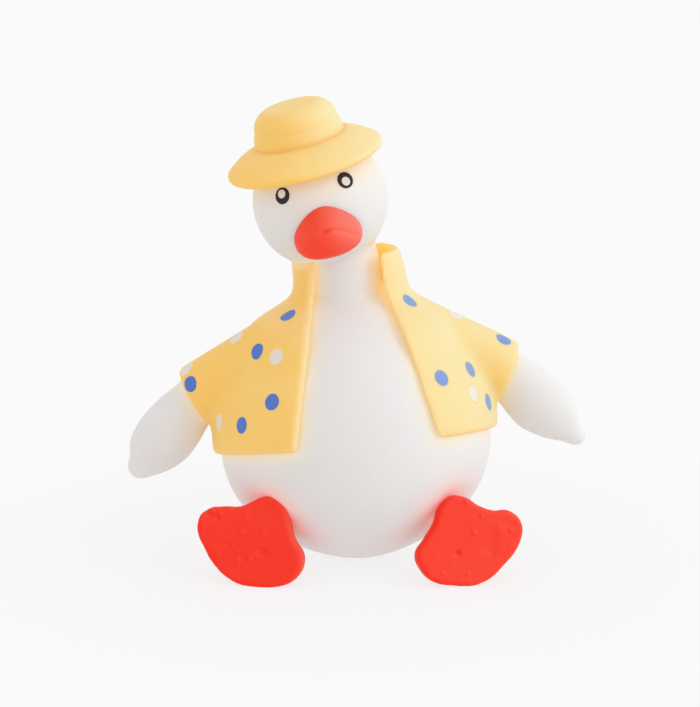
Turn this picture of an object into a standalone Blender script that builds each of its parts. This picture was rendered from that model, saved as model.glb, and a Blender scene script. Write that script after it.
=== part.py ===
"""Rubber duck in a hat and an open jacket, sitting on its belly with its feet out in front.

Metres, +Z up. The duck faces -Y, and left and right are its own, so its left side is +X.
Each colour of rubber is a moulding of its own, bonded to the next one: the white body, the hat,
the jacket, the bill, the feet and the eyes. The dots on the jacket and the pupils are printed.
"""

import math

import bmesh
import bpy
from mathutils import Matrix, Vector

# Seam between one moulding and the next
SEAM_GAP = 0.0003

# Belly and neck, turned about one axis that leans to the duck's right
BELLY_RADIUS = 0.0320
BELLY_HEIGHT = 0.0280
BELLY_FLAT_DEPTH = 0.0016
BELLY_TAPER = 0.20
SHOULDER_RISE = 0.0345
NECK_RADIUS = 0.0094
NECK_BLEND = 0.0120
NECK_BEND_START = 0.0300
BODY_LEAN = math.radians(4.6)

# Head, in the frame of the belly, and how it is turned
HEAD_RADIUS = 0.0156
HEAD_RISE = 0.0570
HEAD_SHIFT = -0.0036
HEAD_FORWARD = 0.0020
HEAD_ROLL = math.radians(14.2)
HEAD_NOD = math.radians(7.7)
HEAD_TURN = math.radians(-0.5)

# Wings
WING_BACK = 0.0010
WING_ROOT_SPAN = 0.0160
WING_ROOT_RISE = 0.0220
WRIST_SPAN = 0.0370
WRIST_RISE = 0.0105
WRIST_RADIUS = 0.0060
WING_LENGTH = 0.0238
WING_DROOP = math.radians(44.0)
WING_RADIUS = 0.0073
WING_FLATNESS = 0.72
WING_SECTION_SHARES = (
    (0.17, 0.97),
    (0.36, 1.00),
    (0.52, 0.95),
    (0.66, 0.81),
    (0.78, 0.60),
    (0.87, 0.42),
    (0.94, 0.29),
    (1.00, 0.17),
)

# Jacket
JACKET_WALL = 0.0016
HEM_RISE = -0.0006
HEM_SLOPE = math.radians(11.0)
HEM_ROLL = math.radians(1.0)
COLLAR_TOP_RISE = 0.0445
COLLAR_HEIGHT = 0.0080
COLLAR_TOP_RADIUS = 0.0110
COLLAR_BASE_RADIUS = 0.0126
COLLAR_SHIFT = 0.0013
COLLAR_WALL = 0.0016
COLLAR_BLEND = 0.0030
OPENING_EDGES = (
    (0.0520, 0.0060, 0.0096),
    (0.0440, 0.0062, 0.0098),
    (0.0355, 0.0076, 0.0105),
    (0.0250, 0.0095, 0.0146),
    (0.0050, 0.0136, 0.0200),
    (-0.0150, 0.0176, 0.0245),
)
SLEEVE_HEM_SPAN = 0.0373
SLEEVE_HEM_RISE = 0.0117
SLEEVE_HEM_RADIUS = 0.0068
SLEEVE_ROOT_RADIUS = 0.0084
SLEEVE_LENGTH = 0.0240
SLEEVE_DROOP = math.radians(29.3)

# Hat
HAT_SHIFT = -0.0012
HAT_SINK = 0.0002
HAT_BAND_DROP = 0.0058
CROWN_RADIUS = 0.0100
CROWN_HEIGHT = 0.0084
CROWN_FLARE = 0.0006
CROWN_CORNER = 0.0052
BRIM_RADIUS = 0.0184
BRIM_DROP = 0.0050
BRIM_WALL = 0.0018

# Bill
BILL_WIDTH = 0.0156
BILL_HEIGHT = 0.0125
BILL_REACH = 0.0060
BILL_DIP = math.radians(13.0)
BILL_TURN = math.radians(1.5)
BILL_SEAT = 0.0015
MOUTH_ARCH = 0.0050
MOUTH_GROOVE = 0.0005

# Eyes
EYE_RADIUS = 0.0019
EYE_PROUD = 0.0004
EYE_AZIMUTH = math.radians(31.0)
EYE_ELEVATION = math.radians(24.4)

# Legs and feet
FOOT_SPAN = 0.0262
FOOT_SHIFT = 0.0007
FOOT_TUCK = 0.0035
FOOT_WIDTH = 0.0248
FOOT_HEIGHT = 0.0208
FOOT_THICKNESS = 0.0040
FOOT_EDGE = 0.0009
FOOT_SOLE_CUT = 0.0003
FOOT_LEAN = math.radians(14.0)
FOOT_SPLAY = math.radians(12.0)
LEG_RADIUS = 0.0050
LEG_RISE = 0.0125
LEG_SPAN = 0.0225
LEG_STRAIGHT = 0.0030
LEG_DEPTH = 0.45
FOOT_OUTLINE_SHARES = (
    (-0.28, 0.99),
    (-0.62, 0.84),
    (-0.73, 0.62),
    (-0.97, 0.38),
    (-0.88, 0.13),
    (-0.55, 0.00),
    (0.15, 0.00),
    (0.62, 0.22),
    (0.95, 0.55),
    (0.92, 0.76),
    (0.66, 0.86),
    (0.26, 0.86),
)

# Mesh fineness
ROUND_STEPS = 40
LIMB_STEPS = 24
BILL_STEPS = 28
GROOVE_STEPS = 8
RING_PITCH = 0.0025
ARC_STEPS = 8
OUTLINE_STEPS = 4

PARTS = "rubber_duck"
CUTTERS = "cutters"
WHITE = (0.88, 0.85, 0.84)
YELLOW = (0.93, 0.62, 0.20)
RED = (0.90, 0.06, 0.03)
BLACK = (0.03, 0.02, 0.04)


def new_collection(name):
    """Empty collection in the scene."""
    collection = bpy.data.collections.new(name)
    bpy.context.scene.collection.children.link(collection)
    return collection


def rubber(name, colour):
    """Soft matt rubber of one colour."""
    material = bpy.data.materials.new(name)
    material.use_nodes = True
    shader = material.node_tree.nodes["Principled BSDF"]
    shader.inputs["Base Color"].default_value = (*colour, 1.0)
    shader.inputs["Roughness"].default_value = 0.45
    shader.inputs["Metallic"].default_value = 0.0
    return material


def new_piece(name, mesh, collection, material=None):
    """Object in a collection, with its material."""
    piece = bpy.data.objects.new(name, mesh)
    collection.objects.link(piece)
    if material:
        mesh.materials.append(material)
    return piece


def new_cutter(name, mesh):
    """Object that only cuts or joins another one."""
    cutter = new_piece(name, mesh, bpy.data.collections[CUTTERS])
    cutter.hide_render = True
    cutter.display_type = "WIRE"
    return cutter


def combine(piece, other, operation):
    """Boolean of a piece with another object."""
    modifier = piece.modifiers.new(other.name, "BOOLEAN")
    modifier.operation = operation
    modifier.object = other
    modifier.solver = "EXACT"


def baked(piece):
    """Mesh of an object after its modifiers, welded, with the object itself removed."""
    bpy.context.view_layer.update()
    source = piece.evaluated_get(bpy.context.evaluated_depsgraph_get())
    mesh = bpy.data.meshes.new_from_object(source)
    bpy.data.objects.remove(piece)
    shape = bmesh.new()
    shape.from_mesh(mesh)
    bmesh.ops.remove_doubles(shape, verts=shape.verts, dist=1e-6)
    shape.to_mesh(mesh)
    shape.free()
    return mesh


def turned(name, outline):
    """Mesh turned about Z from an outline of (radius, height), top to bottom."""
    profile = bpy.data.meshes.new(name)
    points = [(radius, 0.0, height) for radius, height in outline]
    profile.from_pydata(points, [(i, i + 1) for i in range(len(points) - 1)], [])
    piece = new_piece(name, profile, bpy.context.scene.collection)
    screw = piece.modifiers.new("turn", "SCREW")
    screw.axis = "Z"
    screw.steps = ROUND_STEPS
    screw.render_steps = ROUND_STEPS
    screw.use_merge_vertices = True
    screw.merge_threshold = 1e-6
    return baked(piece)


def limb(name, path, radii, sides=LIMB_STEPS):
    """Mesh of a round limb along a path, with a radius for each point."""
    curve = bpy.data.curves.new(name, "CURVE")
    curve.dimensions = "3D"
    curve.bevel_depth = 1.0
    curve.bevel_resolution = (sides - 4) // 2
    curve.use_fill_caps = True
    spline = curve.splines.new("POLY")
    spline.points.add(len(path) - 1)
    for point, place, radius in zip(spline.points, path, radii):
        point.co = (*place, 1.0)
        point.radius = radius
    piece = bpy.data.objects.new(name, curve)
    bpy.context.scene.collection.objects.link(piece)
    return baked(piece)


def ball(name, radius, steps=ROUND_STEPS):
    """Mesh of a sphere about the origin."""
    mesh = bpy.data.meshes.new(name)
    shape = bmesh.new()
    bmesh.ops.create_uvsphere(shape, u_segments=steps, v_segments=steps // 2, radius=radius)
    shape.to_mesh(mesh)
    shape.free()
    return mesh


def smooth_max(first, second, blend):
    """The larger of two radii, filleted where they are within the blend of each other."""
    share = max(blend - abs(first - second), 0.0) / blend
    return max(first, second) + share * share * blend / 4.0


def torso_frame():
    """Frame at the middle of the belly, leaning with the body."""
    return Matrix.Translation((0.0, 0.0, BELLY_HEIGHT)) @ Matrix.Rotation(-BODY_LEAN, 4, "Y")


def head_frame():
    """Frame at the middle of the head, with -Y looking out of its face."""
    middle = torso_frame() @ Vector((HEAD_SHIFT, -HEAD_FORWARD, HEAD_RISE))
    turn = Matrix.Rotation(-HEAD_ROLL, 4, "Y") @ Matrix.Rotation(HEAD_TURN, 4, "Z")
    return Matrix.Translation(middle) @ turn @ Matrix.Rotation(HEAD_NOD, 4, "X")


def belly_drop():
    """Depth of the belly below its middle, before the flat spot is cut on it."""
    return BELLY_HEIGHT + BELLY_FLAT_DEPTH


def torso_radius(rise):
    """Radius of the belly and neck at a rise over the middle of the belly."""
    if rise < 0.0:
        share = min((rise / belly_drop()) ** 2, 1.0)
        return BELLY_RADIUS * (1.0 - share) ** (0.5 + BELLY_TAPER * share)
    belly = BELLY_RADIUS * math.sqrt(max(1.0 - (rise / SHOULDER_RISE) ** 2, 0.0))
    return smooth_max(belly, NECK_RADIUS, NECK_BLEND)


def torso_rises(low, high):
    """Rises of the rings between two ends, closer together where the shoulder turns in."""
    arc = [math.radians(90.0 * step / ARC_STEPS) for step in range(-ARC_STEPS, ARC_STEPS + 1)]
    rises = [belly_drop() * math.sin(a) if a < 0.0 else SHOULDER_RISE * math.sin(a) for a in arc]
    neck_rings = max(int((high - SHOULDER_RISE) / RING_PITCH), 1)
    pitch = (high - SHOULDER_RISE) / neck_rings
    rises += [SHOULDER_RISE + pitch * (step + 1) for step in range(neck_rings)]
    inner = [rise for rise in rises if low + RING_PITCH / 4 < rise < high - RING_PITCH / 4]
    return [low] + inner + [high]


def bend_to_head(mesh, collar_shift):
    """Move the rings over the shoulder towards the head's place, and the collar's aside."""
    for vertex in mesh.vertices:
        share = (vertex.co.z - NECK_BEND_START) / (HEAD_RISE - NECK_BEND_START)
        share = max(share, 0.0) ** 2
        up_collar = (vertex.co.z - COLLAR_TOP_RISE + 2 * COLLAR_HEIGHT) / COLLAR_HEIGHT
        up_collar = min(max(up_collar, 0.0), 1.0)
        vertex.co.x += HEAD_SHIFT * share + collar_shift * up_collar
        vertex.co.y -= HEAD_FORWARD * share


def torso_mesh(name, radius_at, low, high, half_steps=0, collar_shift=0.0):
    """Closed mesh of the torso's form, with the radius that a function gives at each rise.

    Half a step of turn keeps the edges of an inner form off the edges of an outer one.
    """
    rings = [(radius_at(rise), rise) for rise in reversed(torso_rises(low, high))]
    mesh = turned(name, [(0.0, high)] + rings + [(0.0, low)])
    mesh.transform(Matrix.Rotation(half_steps * math.pi / ROUND_STEPS, 4, "Z"))
    bend_to_head(mesh, collar_shift)
    mesh.transform(torso_frame())
    return mesh


def wing_mesh(name, side, grow):
    """Closed mesh of one wing, from inside the shoulder to its tip."""
    root = Vector((side * WING_ROOT_SPAN, WING_BACK, WING_ROOT_RISE))
    wrist = Vector((side * WRIST_SPAN, WING_BACK, WRIST_RISE))
    along = Vector((side * math.cos(WING_DROOP), 0.0, -math.sin(WING_DROOP)))
    path = [root, wrist] + [wrist + along * WING_LENGTH * share for share, _ in WING_SECTION_SHARES]
    radii = [WRIST_RADIUS, WRIST_RADIUS] + [WING_RADIUS * size for _, size in WING_SECTION_SHARES]
    mesh = limb(name, path, [radius + grow for radius in radii])
    flatten = Matrix.Scale(WING_FLATNESS, 4, (0.0, 1.0, 0.0))
    centre = Matrix.Translation((0.0, WING_BACK, 0.0))
    mesh.transform(torso_frame() @ centre @ flatten @ centre.inverted())
    return mesh


def foot_frame(side):
    """Frame where the front of a foot meets the floor, with -Y out of its front face."""
    place = Matrix.Translation((side * FOOT_SPAN + FOOT_SHIFT, FOOT_TUCK - BELLY_RADIUS, 0.0))
    splay = Matrix.Rotation(side * FOOT_SPLAY, 4, "Z")
    return place @ splay @ Matrix.Rotation(-FOOT_LEAN, 4, "X")


def leg_mesh(name, side):
    """Closed mesh of a short leg, square to the back of its foot and then into the belly."""
    frame = foot_frame(side)
    across = (LEG_SPAN - FOOT_SPAN) * side
    back = FOOT_THICKNESS + SEAM_GAP
    start = frame @ Vector((across, back, LEG_RISE))
    bend = frame @ Vector((across, back + LEG_STRAIGHT, LEG_RISE))
    inside = bend.lerp(Vector((0.0, 0.0, BELLY_HEIGHT)), LEG_DEPTH)
    return limb(name, [start, bend, inside], [LEG_RADIUS] * 3)


def cut_at_floor(mesh):
    """Cut a mesh off flat at the floor."""
    shape = bmesh.new()
    shape.from_mesh(mesh)
    everything = shape.verts[:] + shape.edges[:] + shape.faces[:]
    cut = bmesh.ops.bisect_plane(
        shape, geom=everything, plane_co=(0.0, 0.0, 0.0), plane_no=(0.0, 0.0, -1.0), clear_outer=True
    )
    edges = [item for item in cut["geom_cut"] if isinstance(item, bmesh.types.BMEdge)]
    bmesh.ops.holes_fill(shape, edges=edges, sides=0)
    shape.to_mesh(mesh)
    shape.free()


def make_seats():
    """The head and the belly with the seam's gap added, which cut what lies on them."""
    head = ball("head_seat", HEAD_RADIUS + SEAM_GAP)
    head.transform(head_frame())
    new_cutter("head_seat", head)
    low = RING_PITCH / 10 - belly_drop()
    belly = torso_mesh("belly_seat", lambda rise: torso_radius(rise) + SEAM_GAP, low, HEAD_RISE)
    new_cutter("belly_seat", belly)


def make_body(parts):
    """White body: belly, neck, head, both wings and the two short legs."""
    torso = torso_mesh("body", torso_radius, RING_PITCH / 10 - belly_drop(), HEAD_RISE)
    cut_at_floor(torso)
    body = new_piece("body", torso, parts, rubber("white_rubber", WHITE))
    head = ball("head", HEAD_RADIUS)
    head.transform(head_frame())
    combine(body, new_cutter("head", head), "UNION")
    for side, word in ((-1, "right"), (1, "left")):
        combine(body, new_cutter(word + "_wing", wing_mesh(word + "_wing", side, 0.0)), "UNION")
        combine(body, new_cutter(word + "_leg", leg_mesh(word + "_leg", side)), "UNION")


def collar_radius(rise):
    """Outer radius of the collar at a rise over the middle of the belly."""
    share = (COLLAR_TOP_RISE - rise) / COLLAR_HEIGHT
    return COLLAR_TOP_RADIUS + (COLLAR_BASE_RADIUS - COLLAR_TOP_RADIUS) * share


def jacket_outer_radius(rise):
    """Outer radius of the jacket, with the collar blended into the shoulder."""
    shoulder = torso_radius(rise) + SEAM_GAP + JACKET_WALL
    return smooth_max(shoulder, collar_radius(rise), COLLAR_BLEND)


def jacket_inner_radius(rise):
    """Inner radius of the jacket, where it lies on the body."""
    return torso_radius(rise) + SEAM_GAP


def collar_inner_radius(rise):
    """Inner radius of the collar, which stands off the neck on one side."""
    return jacket_outer_radius(rise) - COLLAR_WALL


def sleeve_mesh(name, side):
    """Closed mesh of a sleeve's outer form, rounded where it runs into the shoulder."""
    hem = Vector((side * SLEEVE_HEM_SPAN, WING_BACK, SLEEVE_HEM_RISE))
    inward = Vector((-side * math.cos(SLEEVE_DROOP), 0.0, math.sin(SLEEVE_DROOP)))
    path = [hem, hem + inward * SLEEVE_LENGTH]
    radii = [SLEEVE_HEM_RADIUS, SLEEVE_ROOT_RADIUS]
    for step in range(1, ARC_STEPS):
        turn = math.radians(90.0 * step / ARC_STEPS)
        path.append(path[1] + inward * SLEEVE_ROOT_RADIUS * math.sin(turn))
        radii.append(SLEEVE_ROOT_RADIUS * math.cos(turn))
    mesh = limb(name, path, radii)
    mesh.transform(torso_frame())
    return mesh


def flat_mesh(name, outline, thickness, edge=0.0):
    """Closed mesh of a smooth flat outline in the XZ plane, thick from its front at Y 0 back."""
    curve = bpy.data.curves.new(name, "CURVE")
    curve.dimensions = "2D"
    curve.fill_mode = "BOTH"
    curve.extrude = thickness / 2 - edge
    curve.bevel_depth = edge
    curve.bevel_resolution = 1
    curve.resolution_u = OUTLINE_STEPS
    spline = curve.splines.new("BEZIER")
    spline.bezier_points.add(len(outline) - 1)
    spline.use_cyclic_u = True
    for point, (across, up) in zip(spline.bezier_points, outline):
        point.co = (across, up, 0.0)
        point.handle_left_type = "AUTO"
        point.handle_right_type = "AUTO"
    piece = bpy.data.objects.new(name, curve)
    bpy.context.scene.collection.objects.link(piece)
    mesh = baked(piece)
    upright = Matrix.Rotation(math.radians(90.0), 4, "X")
    mesh.transform(Matrix.Translation((0.0, thickness / 2, 0.0)) @ upright)
    return mesh


def opening_mesh(name):
    """Form that opens the jacket down its front, wider at the hem."""
    outline = [(-right, rise) for rise, right, left in OPENING_EDGES]
    outline += [(left, rise) for rise, right, left in reversed(OPENING_EDGES)]
    reach = 2.0 * BELLY_RADIUS
    mesh = flat_mesh(name, outline, reach)
    mesh.transform(torso_frame() @ Matrix.Translation((0.0, -reach, 0.0)))
    return mesh


def below_hem_mesh(name):
    """Block below the jacket's hem, which rises towards the front."""
    mesh = bpy.data.meshes.new(name)
    shape = bmesh.new()
    size = 4.0 * BELLY_RADIUS
    bmesh.ops.create_cube(shape, size=size)
    bmesh.ops.translate(shape, verts=shape.verts, vec=(0.0, 0.0, -size / 2))
    shape.to_mesh(mesh)
    shape.free()
    slope = Matrix.Rotation(-HEM_SLOPE, 4, "X") @ Matrix.Rotation(-HEM_ROLL, 4, "Y")
    mesh.transform(torso_frame() @ Matrix.Translation((0.0, 0.0, HEM_RISE)) @ slope)
    return mesh


def make_jacket(parts):
    """Yellow jacket: back, shoulders, collar and short sleeves, open at the front."""
    low = HEM_RISE - BELLY_RADIUS / 4
    outer = torso_mesh("jacket", jacket_outer_radius, low, COLLAR_TOP_RISE, 0, COLLAR_SHIFT)
    jacket = new_piece("jacket", outer, parts, rubber("yellow_rubber", YELLOW))
    for side, word in ((-1, "right"), (1, "left")):
        combine(jacket, new_cutter(word + "_sleeve", sleeve_mesh(word + "_sleeve", side)), "UNION")
    above_collar = COLLAR_TOP_RISE + COLLAR_HEIGHT
    inner = torso_mesh("jacket_inside", jacket_inner_radius, -belly_drop() / 2, above_collar, 1)
    inside = new_cutter("jacket_inside", inner)
    collar = torso_mesh(
        "collar_inside",
        collar_inner_radius,
        COLLAR_TOP_RISE - COLLAR_HEIGHT,
        above_collar - RING_PITCH,
        1,
        COLLAR_SHIFT,
    )
    combine(inside, new_cutter("collar_inside", collar), "UNION")
    for side, word in ((-1, "right"), (1, "left")):
        hole = wing_mesh(word + "_armhole", side, SEAM_GAP / WING_FLATNESS)
        combine(inside, new_cutter(word + "_armhole", hole), "UNION")
    combine(jacket, inside, "DIFFERENCE")
    combine(jacket, bpy.data.objects["head_seat"], "DIFFERENCE")
    combine(jacket, new_cutter("front_opening", opening_mesh("front_opening")), "DIFFERENCE")
    combine(jacket, new_cutter("below_hem", below_hem_mesh("below_hem")), "DIFFERENCE")


def arc(centre, radius, start, end, steps):
    """Points of (radius, height) along a round corner, between two angles in degrees."""
    points = []
    for step in range(steps + 1):
        angle = math.radians(start + (end - start) * step / steps)
        points.append((centre[0] + radius * math.cos(angle), centre[1] + radius * math.sin(angle)))
    return points


def hat_outline():
    """Outline of the hat, from the middle of its top round the brim to its inside."""
    seat = HEAD_RADIUS - HAT_SINK
    band_radius = math.sqrt(HEAD_RADIUS**2 - (HEAD_RADIUS - HAT_BAND_DROP) ** 2)
    top = seat + CROWN_HEIGHT
    outline = [(0.0, top)]
    corner = (CROWN_RADIUS - CROWN_CORNER, top - CROWN_CORNER)
    outline += arc(corner, CROWN_CORNER, 90.0, 0.0, ARC_STEPS)
    outline.append((CROWN_RADIUS + CROWN_FLARE / 2, seat + CROWN_HEIGHT / 4))
    outline.append((CROWN_RADIUS + CROWN_FLARE, seat))
    rim = (BRIM_RADIUS - BRIM_WALL / 2, seat - BRIM_DROP + BRIM_WALL / 2)
    outline += arc(rim, BRIM_WALL / 2, 60.0, -120.0, ARC_STEPS // 2)
    slope = BRIM_DROP / (BRIM_RADIUS - CROWN_RADIUS - CROWN_FLARE)
    under = seat - BRIM_WALL - slope * (band_radius - CROWN_RADIUS - CROWN_FLARE)
    outline.append((band_radius, under))
    outline.append((band_radius, 0.0))
    outline.append((0.0, 0.0))
    return outline


def make_hat(parts):
    """Yellow hat, with a round crown and a brim that slopes down."""
    mesh = turned("hat", hat_outline())
    mesh.transform(head_frame() @ Matrix.Translation((HAT_SHIFT, 0.0, 0.0)))
    hat = new_piece("hat", mesh, parts, rubber("hat_rubber", YELLOW))
    combine(hat, bpy.data.objects["head_seat"], "DIFFERENCE")


def make_beak(parts):
    """Red bill, a broad dome with the mouth as a groove that arches over its front."""
    mesh = ball("beak", 1.0, BILL_STEPS)
    length = BILL_REACH + BILL_SEAT
    shape = Matrix.Diagonal((BILL_WIDTH / 2, length, BILL_HEIGHT / 2, 1.0))
    outward = Matrix.Translation((0.0, BILL_SEAT - HEAD_RADIUS, 0.0))
    turn = Matrix.Rotation(BILL_TURN, 4, "Z") @ Matrix.Rotation(BILL_DIP, 4, "X")
    frame = head_frame() @ turn @ outward
    mesh.transform(frame @ shape)
    beak = new_piece("beak", mesh, parts, rubber("red_rubber", RED))
    path = []
    for step in range(-ARC_STEPS, ARC_STEPS + 1):
        turn = math.radians(90.0 * step / ARC_STEPS)
        drop = MOUTH_ARCH * (1.0 - math.cos(turn))
        waist = math.sqrt(max(1.0 - (2.0 * drop / BILL_HEIGHT) ** 2, 0.0))
        path.append(
            Vector((math.sin(turn) * waist * BILL_WIDTH / 2, -math.cos(turn) * waist * length, -drop))
        )
    groove = limb("mouth", path, [MOUTH_GROOVE] * len(path), GROOVE_STEPS)
    groove.transform(frame)
    combine(beak, new_cutter("mouth", groove), "DIFFERENCE")
    combine(beak, bpy.data.objects["head_seat"], "DIFFERENCE")


def make_eyes(parts):
    """Two round black eyes, which stand a little proud of the head."""
    front = ball("eye_front", HEAD_RADIUS + SEAM_GAP + EYE_PROUD)
    front.transform(head_frame())
    new_cutter("eye_front", front)
    black = rubber("black_print", BLACK)
    for side, word in ((-1, "right_eye"), (1, "left_eye")):
        mesh = bpy.data.meshes.new(word)
        shape = bmesh.new()
        bmesh.ops.create_cone(
            shape,
            cap_ends=True,
            segments=LIMB_STEPS,
            radius1=EYE_RADIUS,
            radius2=EYE_RADIUS,
            depth=HEAD_RADIUS,
            matrix=Matrix.Translation((0.0, 0.0, HEAD_RADIUS)),
        )
        shape.to_mesh(mesh)
        shape.free()
        look = Matrix.Rotation(side * EYE_AZIMUTH, 4, "Z")
        look = look @ Matrix.Rotation(math.radians(90.0) - EYE_ELEVATION, 4, "X")
        mesh.transform(head_frame() @ look)
        eye = new_piece(word, mesh, parts, black)
        combine(eye, bpy.data.objects["eye_front"], "INTERSECT")
        combine(eye, bpy.data.objects["head_seat"], "DIFFERENCE")


def make_foot(name, side, parts):
    """One flat webbed foot, standing on its lower edge in front of the belly."""
    half_width = FOOT_WIDTH / 2 - FOOT_EDGE
    rise = FOOT_HEIGHT - 2 * FOOT_EDGE
    low = FOOT_EDGE - FOOT_SOLE_CUT
    outline = [(side * across * half_width, low + up * rise) for across, up in FOOT_OUTLINE_SHARES]
    mesh = flat_mesh(name, outline, FOOT_THICKNESS, FOOT_EDGE)
    mesh.transform(foot_frame(side))
    cut_at_floor(mesh)
    foot = new_piece(name, mesh, parts, rubber(name + "_rubber", RED))
    combine(foot, bpy.data.objects["belly_seat"], "DIFFERENCE")


def make_feet(parts):
    """Both feet."""
    make_foot("right_foot", -1, parts)
    make_foot("left_foot", 1, parts)


def finish(parts):
    """Smooth shading on every piece, with its hard edges kept."""
    for piece in parts.objects:
        piece.data.shade_smooth()
        piece.data.set_sharp_from_angle(angle=math.radians(35.0))


def main():
    for item in list(bpy.data.objects):
        bpy.data.objects.remove(item)
    parts = new_collection(PARTS)
    new_collection(CUTTERS)
    make_seats()
    make_body(parts)
    make_jacket(parts)
    make_hat(parts)
    make_beak(parts)
    make_eyes(parts)
    make_feet(parts)
    finish(parts)


main()
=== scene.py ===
import math

import bpy
import numpy as np
from mathutils import Matrix, Vector, noise
from mathutils.bvhtree import BVHTree


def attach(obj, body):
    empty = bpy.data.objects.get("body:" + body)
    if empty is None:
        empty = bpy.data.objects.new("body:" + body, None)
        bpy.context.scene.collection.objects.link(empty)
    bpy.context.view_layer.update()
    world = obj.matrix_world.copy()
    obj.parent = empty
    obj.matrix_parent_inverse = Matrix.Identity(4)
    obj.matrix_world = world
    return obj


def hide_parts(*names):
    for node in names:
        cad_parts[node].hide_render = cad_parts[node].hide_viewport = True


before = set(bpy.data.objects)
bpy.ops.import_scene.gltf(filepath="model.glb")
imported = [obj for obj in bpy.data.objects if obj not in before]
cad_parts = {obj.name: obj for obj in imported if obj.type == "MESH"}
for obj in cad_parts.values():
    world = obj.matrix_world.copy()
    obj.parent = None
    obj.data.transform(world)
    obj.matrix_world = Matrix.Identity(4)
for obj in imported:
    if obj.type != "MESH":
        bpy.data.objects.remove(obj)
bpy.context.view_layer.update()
print("frame loaded:", ", ".join(sorted(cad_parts)))

# Soft rubber duck in a hat and an open jacket. Metres, +Z up, the duck faces -Y.
# Left and right are the duck's own, so its left side is +X.

photoView = {
    "imageWidth": 700,
    "imageHeight": 707,
    "sensorWidth": 36.0,
    "lens": 108.37,
    "distance": 0.5,
    "elevation": math.radians(12.0),
    "aim": Vector((-0.0013, 0.0, 0.048)),
}


def makeCamera():
    view = photoView
    back = Vector((0.0, -math.cos(view["elevation"]), math.sin(view["elevation"])))
    bpy.ops.object.camera_add(
        location=view["aim"] + back * view["distance"],
        rotation=(math.pi / 2 - view["elevation"], 0.0, 0.0),
    )
    camera = bpy.context.active_object
    camera.name = "photoCamera"
    camera.data.sensor_width = view["sensorWidth"]
    camera.data.lens = view["lens"]
    bpy.context.scene.camera = camera
    return camera


camera = makeCamera()
print("camera placed")


# Selecting and finishing

def deselectAll():
    if bpy.context.mode != "OBJECT":
        bpy.ops.object.mode_set(mode="OBJECT")
    bpy.ops.object.select_all(action="DESELECT")


def onlySelect(piece):
    deselectAll()
    piece.select_set(True)
    bpy.context.view_layer.objects.active = piece


def editWhole():
    bpy.ops.object.mode_set(mode="EDIT")
    bpy.ops.mesh.select_all(action="SELECT")


def closeEdit():
    bpy.ops.mesh.select_all(action="SELECT")
    bpy.ops.mesh.normals_make_consistent(inside=False)
    bpy.ops.object.mode_set(mode="OBJECT")


def applyModifiers(piece):
    onlySelect(piece)
    for modifier in list(piece.modifiers):
        bpy.ops.object.modifier_apply(modifier=modifier.name)


def growPiece(name, turn, slices, sides=72, flatness=1.0):
    # A round form grown ring by ring along Z of the turned frame. A slice is (place, radius).
    place, radius = slices[0]
    here = turn @ Vector(place)
    deselectAll()
    bpy.ops.mesh.primitive_circle_add(
        vertices=sides, radius=radius, fill_type="NGON", location=here, rotation=turn.to_euler()
    )
    piece = bpy.context.active_object
    piece.name = name
    bpy.ops.object.transform_apply(location=True, rotation=True, scale=True)
    editWhole()
    bpy.ops.transform.resize(value=(1.0, flatness, 1.0), center_override=here)
    for place, nextRadius in slices[1:]:
        there = turn @ Vector(place)
        bpy.ops.mesh.extrude_region_move(TRANSFORM_OT_translate={"value": there - here})
        grow = nextRadius / radius
        bpy.ops.transform.resize(value=(grow, grow, grow), center_override=there)
        here = there
        radius = nextRadius
    closeEdit()
    return piece


def joinPieces(name, pieces):
    deselectAll()
    for piece in pieces:
        piece.select_set(True)
    bpy.context.view_layer.objects.active = pieces[0]
    bpy.ops.object.join()
    joined = bpy.context.active_object
    joined.name = name
    return joined


def fuse(piece, voxel, softening):
    # One skin over everything that overlaps, and then soft inner and outer corners.
    remesh = piece.modifiers.new("fuse", "REMESH")
    remesh.mode = "VOXEL"
    remesh.voxel_size = voxel
    remesh.use_smooth_shade = True
    soften = piece.modifiers.new("soften", "SMOOTH")
    soften.factor = 0.5
    soften.iterations = softening
    applyModifiers(piece)


def cutAway(piece, cutter):
    cut = piece.modifiers.new("cut", "BOOLEAN")
    cut.operation = "DIFFERENCE"
    cut.solver = "EXACT"
    cut.object = cutter
    applyModifiers(piece)
    bpy.data.objects.remove(cutter)


def sculpt(piece, move):
    # Moves each vertex along its normal by what a function gives at its place.
    mesh = piece.data
    lifts = [move(vertex.co) for vertex in mesh.vertices]
    normals = [vertex.normal.copy() for vertex in mesh.vertices]
    for vertex, lift, normal in zip(mesh.vertices, lifts, normals):
        vertex.co += normal * lift
    mesh.update()


def cutAtFloor(piece):
    onlySelect(piece)
    editWhole()
    bpy.ops.mesh.bisect(plane_co=(0, 0, 0), plane_no=(0, 0, 1), use_fill=True, clear_inner=True)
    bpy.ops.object.mode_set(mode="OBJECT")


def keepOffFloor(piece):
    for vertex in piece.data.vertices:
        vertex.co.z = max(vertex.co.z, 0.0)


def shadeSmooth(piece):
    onlySelect(piece)
    bpy.ops.object.shade_smooth()


def bump(distance, width):
    return math.exp(-((distance / width) ** 2))


def clip(value):
    return min(max(value, 0.0), 1.0)


def turnTo(way):
    return Vector((0, 0, 1)).rotation_difference(way).to_matrix().to_4x4()


bothSides = ((-1, "right"), (1, "left"))


# Body: belly, neck, head, wings and the short legs, moulded in one

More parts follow.
